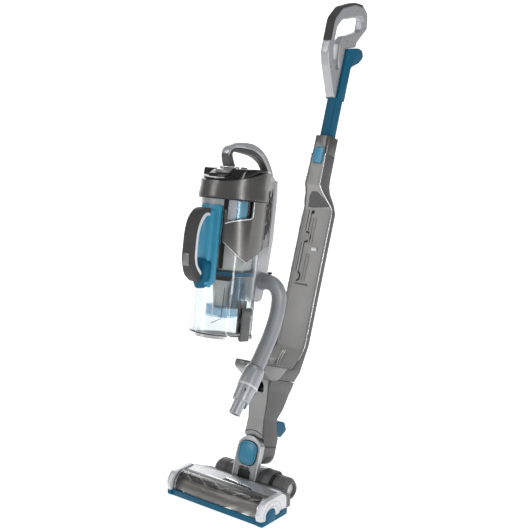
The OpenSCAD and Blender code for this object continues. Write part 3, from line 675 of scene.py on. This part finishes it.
def rounded_box(x0, x1, s0, s1, r):
    """Outline of a rectangle with round corners."""
    out = []
    for cx, cs, sx, ss, order in ((x1 - r, s1 - r, 1, 1, 1), (x1 - r, s0 + r, 1, -1, -1),
                                  (x0 + r, s0 + r, -1, -1, 1), (x0 + r, s1 - r, -1, 1, -1)):
        out += [(cx + sx * r * a, cs + ss * r * b) for a, b in CORNER[::order]]
    return out


disc = prism("disc_face", rounded_box(-24, 24, 14.5, 66, 17), spine_pt, 35.8, 39.8, "teal", "yoke", 1.2,
             axis=1)
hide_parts("swivel_disc")
hard("neck", "neck_dark", 1.6, 3)
hard("neck_panel", "panel", 0.8)


def arc_on_neck(name, r, mat, t, lo=35, hi=145, h=21.5):
    points = [spine_pt(r * math.cos(math.radians(a)), h, KNUCKLE_S + r * math.sin(math.radians(a)))
              for a in range(lo, hi + 1, 5)]
    swept(name, points, circle(t, 8), mat, "spine", up=SPINE_FORWARD)


arc_on_neck("knuckle_ring", 49, "black", 0.7, 60, 120, 31.3)
NECK_ARCH = [(-12.5, 176), (-12.5, 196), (-9, 203), (0, 207), (10, 203), (14.5, 196), (14.5, 176)]


def neck_arch():
    """Dark rim round the port that takes the nozzle."""
    line = catmull([(a, 0, b) for a, b in NECK_ARCH], 5)
    points = [spine_pt(p.x, 40.8 + 0.16 * (p.z - 176), p.z) for p in line]
    swept("neck_arch_rim", points, circle(0.9, 8), "dark_shell", "spine",
          up=SPINE_FORWARD)


neck_arch()


def disc_rim():
    for name, inset, h, t in (("disc_rim", -0.8, 36.6, 1.2), ("disc_groove", 4, 39.9, 0.3)):
        loop = rounded_box(-24 + inset, 24 - inset, 14.5 + inset, 66 - inset, 17 - inset)
        points = [spine_pt(a, h, b) for a, b in loop + loop[:1]]
        swept(name, points, circle(t, 8), "black", "yoke",
              up=SPINE_FORWARD, closed_ends=False)


disc_rim()
YOKE_LOOP = [(-31, -16), (-31, 40), (-27, 62), (-12, 75), (0, 77), (12, 75), (28, 62), (32, 40), (32, -16)]
swept("yoke_edge", [spine_pt(p.x, 35.8, p.z) for p in catmull([(a, 0, b) for a, b in YOKE_LOOP], 6)],
      circle(1.6, 10), "white", "yoke", up=SPINE_FORWARD)
prism("yoke_slot", [(-15, -19), (-15, 0), (-12, 3), (14, 3), (17, 0), (17, -19)], spine_pt, 35.4, 36.5,
      "black", "yoke", 0.3, axis=1)


def knuckle_place(r, deg, h):
    a = math.radians(deg)
    return spine_pt(r * math.cos(a), h, KNUCKLE_S + r * math.sin(a))


turned("knuckle_pocket", [(25.4, -22), (26.3, -22), (26.3, 3), (25.4, 3)], knuckle_place, "black", "spine", 8,
       -46, -8)
prism("knuckle_step", [(-27, 58), (20, 58), (20, 61), (-27, 61)], spine_pt, 25.4, 26.6, "black", "spine", 0.3)
repaint("suction_duct", "dark_shell")
hard("foot_pedal", "teal_dark", 2.0, 3)

# ---- dock and tray ------------------------------------------------------------------------

hard("shelf", "shelf", 1.2)
hard("dock_toe", "panel", 0.8)
hard("tray_back", "neck_dark", 1.0)
hard("tray_front", "tray", 0.5)
hard("dock_rails", "tray", 0.4)
hard("dock_hook", "white", 0.4)
hard("release_button", "teal_dark", 1.0)
hard("wand_collar", "titanium", 1.4, 3)
hard("latch_button", "teal", 1.2, 3)

# right half of the tray's outline: [distance from the middle, along the spine]
RIM = [(42, 262), (42, 300), (42, 400), (42, 500), (42, 590), (40.5, 612), (34, 630), (26.5, 645),
       (22.6, 662), (21.4, 690), (20.6, 735)]


def rim_height(s):
    if s < 286:
        return -12 - 29 * (s - 240) / 46
    if s < 612:
        return -41
    return min(0, -41 + 41 * (s - 612) / 50)


def rim_line(side):
    tag = "right" if side > 0 else "left"
    line = catmull([(side * (x - 1.2), rim_height(s) + 0.4, s) for x, s in RIM], 8)
    swept(f"rim_line_{tag}", [spine_pt(*p) for p in line], circle(1.15, 10), "chrome", "spine",
          up=SPINE_FORWARD)


both_sides(rim_line)


TRAY_FLOOR = -42.5                            # the floor's place in front of the spine's line


def floor_strip(name, outline, mat, lift=0.35):
    """A thin shape lying on the tray's floor, outlined in (x, s)."""
    prism(name, outline, spine_pt, TRAY_FLOOR - 0.1, TRAY_FLOOR + lift, mat, "spine", 0, axis=1)


RAMP_FOOT = 612                               # where the floor starts to climb, along the spine
RAMP_SLOPE = 0.834


def on_ramp(x, lift, s):
    return spine_pt(x, TRAY_FLOOR + 0.1 + RAMP_SLOPE * (s - RAMP_FOOT) + lift, s)


prism("recess", [(-29, 612.5), (34, 619), (24, 634), (9, 648), (-6, 648), (-16, 638)], on_ramp, -0.1, 0.4,
      "liner", "spine", 0, axis=1)
for k, (x0, x1, s0, s1) in enumerate(((-28.5, -19.5, 463, 531), (-24, -15, 560, 612))):
    floor_strip(f"guide_dark_{k}", [(x0, s0), (x0 + 2, s0), (x0 + 2, s1), (x0, s1)], "black")
    floor_strip(f"guide_light_{k}", [(x0 + 2.2, s0), (x1 - 2, s0), (x1 - 2, s1), (x0 + 2.2, s1)],
                "panel", 0.5)
    floor_strip(f"guide_edge_{k}", [(x1 - 1.8, s0), (x1, s0), (x1, s1), (x1 - 1.8, s1)], "black")


def notch(name, x, s, wide, tall, band):
    """A dark bay curving out to the right of a guide."""
    turn = [math.radians(a) for a in range(0, 181, 15)]
    outer = [(x + wide * math.sin(a), s - tall * math.cos(a)) for a in turn]
    inner = [(x + (wide - band) * math.sin(a), s - (tall - band) * math.cos(a)) for a in reversed(turn)]
    floor_strip(name, outer + inner, "black", 0.5)


notch("notch_high", -21, 545, 16, 14, 4)
notch("notch_low", -22, 451, 10, 12, 4)
floor_strip("contact_slot", [(-24, 432.5), (12, 432.5), (12, 436), (-24, 436)], "black", 0.4)
for k in range(7):
    x = -22 + 5 * k
    floor_strip(f"contact_tooth_{k}", [(x, 433), (x + 1.6, 433), (x + 1.6, 435.4), (x, 435.4)], "panel", 0.7)
floor_strip("floor_joint", [(-34, 300), (-33.2, 300), (-33.2, 606), (-34, 606)], "neck_dark", 0.2)
floor_strip("floor_joint_right", [(34.6, 300), (35.4, 300), (35.4, 606), (34.6, 606)], "neck_dark", 0.2)
prism("ramp_slot", [(-42.4, 600), (-42.0, 612), (-27, 630), (-22, 640), (-24, 644), (-30, 634), (-42.5, 622)],
      spine_pt, -15, -8, "black", "spine", 0.3)

# contacts and mound above the shelf
for k, x in enumerate((-8, -2)):
    swept(f"charge_prong_{k}", [spine_pt(x, -14, 244), spine_pt(x, -20, 258), spine_pt(x, -24, 270),
                                spine_pt(x, -30, 276)], circle(1.3, 8), "chrome", "spine", up=(1, 0, 0))
prism("contact_mound", [(-8, 240), (-10, 250), (-20, 256), (-34, 260), (-34, 240)], spine_pt, -29, -12,
      "tray", "spine", 1.5)
prism("shelf_gap", [(93.5, 238.6), (20, 237.6), (20, 239.9), (93.5, 240.8)], spine_pt, -40.5, 40.5,
      "neck_dark", "spine", 0.2)
for k, (s0, mat) in enumerate(((226, "black"), (229.5, "chrome"), (233, "black"), (236, "chrome"))):
    prism(f"shelf_stripe_{k}", [(60, s0), (90, s0 + 1.5), (90, s0 + 3.5), (60, s0 + 2.2)], spine_pt,
          -42.6, -41.8, mat, "spine", 0.2)

# ---- wand and handle ----------------------------------------------------------------------

hard("upper_tube", "teal_dark", 2.2, 3)
soft("handle_frame", "silver", 1.3, 14, 0.9)
soft("handle_grip", "soft_black", 1.0, 8, 0.5)

# ---- portable unit ------------------------------------------------------------------------

hard("housing", "titanium", 1.2, 3)
hard("top_panel", "black_gloss", 1.4, 3)
hard("power_switch", "display", 0.8)


def flat_curve(points, per=5):
    """A smooth curve through (a, b) pairs."""
    return [(p.x, p.z) for p in catmull([(a, 0, b) for a, b in points], per)]


LOOP_OUT = flat_curve([(33, 350), (40, 368), (37, 384), (22, 395), (0, 400), (-36, 400.5), (-64, 392),
                       (-86, 378), (-103, 359), (-113, 343), (-120, 331.4)])
LOOP_MID = flat_curve([(38, 372), (32, 382), (20, 387.5), (0, 389), (-36, 388), (-62, 379), (-80, 366),
                       (-94, 350), (-106, 331.4)])
LOOP_IN = flat_curve([(14, 347), (27, 371), (25, 378), (16, 380), (-8, 379.5), (-40, 376.5), (-60, 372),
                      (-80, 362), (-92, 349), (-100, 340)])
band = prism("handle_band", LOOP_OUT[5:] + LOOP_MID[::-1], unit_pt, -10, 10, "silver", "portable_unit", 2.4)
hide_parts("carry_handle")
prism("handle_liner", LOOP_OUT[:8] + LOOP_MID[2:] + LOOP_IN[::-1], unit_pt, -9.4, 9.4, "liner",
      "portable_unit", 1.2)
hard("back_piece", "silver", 3.0, 4)
repaint("suction_motor", "metal")
repaint("impeller", "metal")
repaint("battery_pack", "black")
repaint("circuit_board", "board")
hard("filter_cup", "teal_light", 0.4)
hard("dust_bowl", "bowl", 0.5)
hard("bowl_panel", "teal", 1.6, 3)
GRIP_OUT = flat_curve([(80, 261), (94, 261.5), (108, 255), (121, 237), (126.6, 212), (127.4, 185),
                       (127.2, 160), (122.5, 140), (114, 124), (98, 112.4)])
GRIP_MID = flat_curve([(80, 252), (92, 252), (103, 244), (111, 228), (115, 208), (115.6, 185), (115, 163),
                       (110, 147), (103, 137), (92, 126)])
grip = prism("grip_bar", GRIP_OUT + GRIP_MID[::-1], unit_pt, -12.6, 12.6, "soft_black", "bin", 3.0)
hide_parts("bowl_grip")
GRIP_LINE = flat_curve([(80.4, 246), (89, 246), (100, 232), (106.5, 212), (108, 186), (107.5, 164),
                        (104, 150), (98, 141), (88, 132)])
prism("grip_inner", GRIP_MID + GRIP_LINE[::-1], unit_pt, -11.4, 11.4, "white", "bin", 2.0)
hard("bowl_button", "display", 0.8)
hard("bin_door", "door_black", 0.6)
hard("bin_latch", "neck_dark", 0.8)
hard("hose_collar", "nozzle_silver", 1.0, 3)
hard("nozzle", "nozzle_silver", 1.0, 3)
hard("nozzle_latch", "teal_dark", 0.8, 3)


def on_unit(name, r0, r1, a0, a1, u0, u1, mat, body, n=24):
    """A curved slab about the unit's axis, between two radii, bearings and heights."""
    return turned(name, [(r0, u0), (r1, u0), (r1, u1), (r0, u1)], polar_pt, mat, body, n, a0, a1)


TUBE_AT = (38, 6)


def tube_place(r, deg, u):
    a = math.radians(deg)
    return unit_pt(TUBE_AT[0] + r * math.cos(a), TUBE_AT[1] + r * math.sin(a), u)


lower_cup = turned("cyclone_cup",
                   [(8, 42), (34.5, 42), (35.6, 43.5), (35.6, 66), (34, 66), (33.8, 46), (8, 46)],
                   polar_pt, "cup", "portable_unit")
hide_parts("cyclone")
turned("cyclone_cone", [(0, 60), (20, 60), (21, 66), (25, 100), (31, 116), (0, 116)], polar_pt, "frost",
       "portable_unit")
turned("cyclone_throat", [(0, 116.5), (33, 116.5), (40, 128), (0, 128)], polar_pt, "black", "portable_unit")
turned("cyclone_ring", [(34, 128.2), (57, 128.2), (58.5, 130), (58.5, 136), (57, 137.5), (34, 137.5)],
       polar_pt, "teal_dark", "portable_unit")
turned("cyclone_shroud", [(0, 138), (48, 138), (51, 141), (51, 204), (0, 204)], polar_pt, "frost",
       "portable_unit")
turned("clean_tube", [(0, 62), (7.5, 62), (7.5, 100), (11, 118), (11.4, 158), (0, 158)], tube_place, "white",
       "portable_unit", 48)
turned("tube_skirt", [(17, 64), (17.6, 64), (18, 100), (12.4, 126), (11.6, 126), (17.2, 99)],
       tube_place, "cup", "portable_unit", 48)

on_unit("bowl_band", 65.05, 66.2, 66, 200, 269.5, 283.4, "silver", "bin", 40)
on_unit("bowl_stripe", 65.05, 65.8, 57.8, 65.6, 143, 283, "black_gloss", "bin", 8)
on_unit("cup_white", 61.55, 62.3, 42.4, 57.8, 207, 283, "white", "portable_unit", 8)
on_unit("cup_dark", 61.55, 62.3, 4, 21, 207, 283, "black", "portable_unit", 8)
on_unit("skirt_shadow", 66.3, 72.2, -20, 200, 281.6, 284.2, "black", "portable_unit", 64)
# painted highlight: a thin white strip standing in for the bright line of light down the bowl
on_unit("bowl_highlight_strip", 65.0, 66.0, 67.6, 68.8, 44, 98, "white", "bin", 3)
on_unit("door_ring", 64.2, 66.8, 0, 360, -0.2, 6.6, "chrome", "door", 96)
turned("door_top", [(0, 5.6), (61.6, 5.6), (61.6, 7.2), (0, 7.2)], polar_pt, "door_black", "door")
on_unit("bowl_column", 60.6, 62.2, 2, 20, 13, 80, "liner", "bin", 6)
on_unit("door_notch", 66.3, 67.6, 80, 87, 0.4, 5.2, "white", "door", 6)
on_unit("bowl_lip", 62.6, 65.5, 0, 360, 8.4, 9.6, "smoke", "bin", 96)
swept("bowl_rib_left", [polar_pt(65.4, 126, u) for u in range(30, 95, 8)], circle(0.8, 8), "smoke", "bin",
      up=(0, 1, 0))
swept("wiper",
      [polar_pt(61.6, 50, 104), polar_pt(61.6, 51, 70), polar_pt(61.6, 52, 42), polar_pt(61.6, 60, 37),
                polar_pt(61.6, 70, 31)], circle(0.7, 8), "black", "bin", up=(0, 0, 1))

window_line = [(12.6, 283), (12.6, 262), (13.2, 252), (17, 247.5), (25, 245.5), (36, 243), (48, 239.4),
               (60, 234.5)]
points = [polar_pt(70.2, p.x, p.z) for p in catmull([(a, 0, u) for a, u in window_line], 6)]
swept("window_trim", points, circle(1.1, 8), "chrome", "portable_unit", up=(0, 0, 1))
SKIRT_EDGE = [(17, 158), (30, 168), (45, 182), (60, 197)]          # (bearing, height)
points = [polar_pt(70.1, p.x, p.z) for p in catmull([(a, 0, u) for a, u in SKIRT_EDGE], 6)]
swept("edge_trim", points, circle(0.7, 8), "chrome", "portable_unit", up=(0, 0, 1))


def side_wall(t, lift, u, mirror=1):
    """A point on the housing's flat side: t from 0 at the round front to 1 at the rear corner."""
    x0, m0, x1, m1 = 61.8, -32.9, 23.1, -105.8
    nx, nm = 0.883, -0.469
    return unit_pt(mirror * (x0 + (x1 - x0) * t + nx * lift), m0 + (m1 - m0) * t + nm * lift, u)


def vents(mirror):
    tag = "right" if mirror > 0 else "left"
    for c in range(8):
        t = 0.1 + 0.1 * c
        low, high = 196 + 3.5 * c, 304 + 1.2 * c
        u = low + rng.uniform(0, 12)
        k = 0
        while u < high - 14:
            end = min(high, u + rng.uniform(26, 40))
            points = [side_wall(t + 0.012 * math.sin(v / 6.5 + c * 0.9), 0.05, v, mirror)
                      for v in [u + (end - u) * i / 10 for i in range(11)]]
            flat = [(-0.8, -0.4), (0.8, -0.4), (0.8, 0.3), (-0.8, 0.3)]
            normal = side_wall(0.5, 1, 200, mirror) - side_wall(0.5, 0, 200, mirror)
            swept(f"vent_{tag}_{c}_{k}", points, flat, "vent", "portable_unit", up=tuple(normal))
            u = end + 3.5
            k += 1


vents(1)
vents(-1)

# top panel: stepped display, arc and lamps
prism("display_step", [(52, 322), (52, 331), (36, 341.5), (30, 345.0), (30, 322)], unit_pt, -30, 22,
      "black_gloss", "portable_unit", 2.0)
prism("display_block", [(46, 330), (46, 340.5), (30, 347.6), (22, 348.6), (22, 330)], unit_pt, -17, 18,
      "display", "portable_unit", 1.2)
prism("lamp_strip", [(31, 346.8), (30, 348.7), (23, 349.6), (23, 347)], unit_pt, -13, 5, "led",
      "portable_unit", 0.4)
points = [unit_pt(22 * math.cos(math.radians(a)) - 2, 20 + 15 * math.sin(math.radians(a)), 347.8)
          for a in range(-20, 201, 12)]
swept("display_arc", points, circle(1.5, 8), "chrome", "portable_unit", up=(0, 0, 1))

# teal boss behind the grip
prism("grip_boss", [(-15, 150), (-15, 258), (13, 258), (13, 150)], unit_pt, 66, 82, "teal",
      "bin", 4.0, axis=1)
prism("grip_foot", [(-17, 118), (-19, 150), (-12, 160), (12, 160), (18, 150), (17, 118), (4, 99), (-4, 99)],
      unit_pt, 66, 90, "teal_dark", "bin", 4.0, axis=1)

def port_place(r, deg, x):
    a = math.radians(deg)
    return unit_pt(x, -100 + r * math.cos(a), 114 + r * math.sin(a))


turned("hose_port", [(16.6, 14), (18.6, 14), (18.6, 25), (17.6, 27), (16.6, 27)], port_place, "hose_silver",
       "portable_unit", 64)
prism("port_tab", [(-104, 131), (-96, 131), (-96, 136), (-104, 136)], unit_pt, 34, 41, "black",
      "portable_unit", 1.0)


def nozzle_place(r, deg, z):
    a = math.radians(deg)
    return nozzle_pt(r * math.cos(a), r * math.sin(a), z)


turned("nozzle_ring", [(18, 41.4), (22.6, 41.4), (23, 43), (22.6, 45.8), (18, 45.8)], nozzle_place, "white",
       "portable_unit", 72, 128, 412)
prism("nozzle_mark", [(-16.4, 54), (-17.4, 54), (-16.8, 60), (-16.0, 60)],
      nozzle_pt, 9, 13, "black", "portable_unit", 0.2)

# ---- room and light -----------------------------------------------------------------------


def room():
    bm = bmesh.new()
    profile = [(-7.0, 0.0), (6.2, 0.0)]
    profile += [(6.2 + 0.8 * math.sin(math.radians(a)), 0.8 - 0.8 * math.cos(math.radians(a)))
                for a in range(10, 91, 10)]
    profile += [(7.0, 4.0)]
    axis = Vector((-0.619, 0.785, 0))                     # away from the camera
    across = Vector((0.785, 0.619, 0))
    rows = [[bm.verts.new(axis * a + across * w + Vector((0, 0, z - 0.0003))) for w in (-7, 7)]
            for a, z in profile]
    for a, b in zip(rows, rows[1:]):
        bm.faces.new((a[0], a[1], b[1], b[0]))
    obj = from_bmesh("studio_floor", bm)
    mat, tree, bsdf = shader("studio_floor")
    coord = tree.nodes.new("ShaderNodeTexCoord").outputs["Object"]
    tree.links.new(ramp(tree, noise(tree, coord, 3), [(0.3, rgb(243, 243, 243)), (0.7, rgb(247, 247, 247))]),
                   bsdf.inputs["Base Color"])
    bsdf.inputs["Roughness"].default_value = 0.9
    bsdf.inputs["Emission Color"].default_value = (1, 1, 1, 1)
    bsdf.inputs["Emission Strength"].default_value = 0.8
    obj.data.materials.append(mat)
    smooth(obj, 80)


def area(name, at, to, size, power, colour=(1, 1, 1), size_y=None):
    data = bpy.data.lights.new(name, "AREA")
    data.energy = power
    data.color = colour
    data.size = size
    if size_y:
        data.shape = "RECTANGLE"
        data.size_y = size_y
    obj = bpy.data.objects.new(name, data)
    obj.location = at
    obj.rotation_euler = (Vector(to) - Vector(at)).to_track_quat("-Z", "Y").to_euler()
    bpy.context.scene.collection.objects.link(obj)


room()
area("key", (-1.6, -2.4, 2.2), (0, 0, 0.55), 1.0, 20, size_y=2.2)
area("strip", (2.4, -1.1, 0.75), (0, 0, 0.6), 0.36, 24, size_y=2.4)
area("top", (0.2, 0.4, 3.0), (0, 0, 0.3), 1.6, 12)
area("back", (-2.2, 1.6, 1.6), (0, 0, 0.6), 1.0, 14, size_y=2.2)

world = bpy.data.worlds.new("studio")
bpy.context.scene.world = world
world.use_nodes = True
world.node_tree.nodes["Background"].inputs[0].default_value = (1, 1, 1, 1)
world.node_tree.nodes["Background"].inputs[1].default_value = 0.3
bpy.context.scene.view_settings.view_transform = "Standard"
bpy.context.scene.view_settings.look = "None"
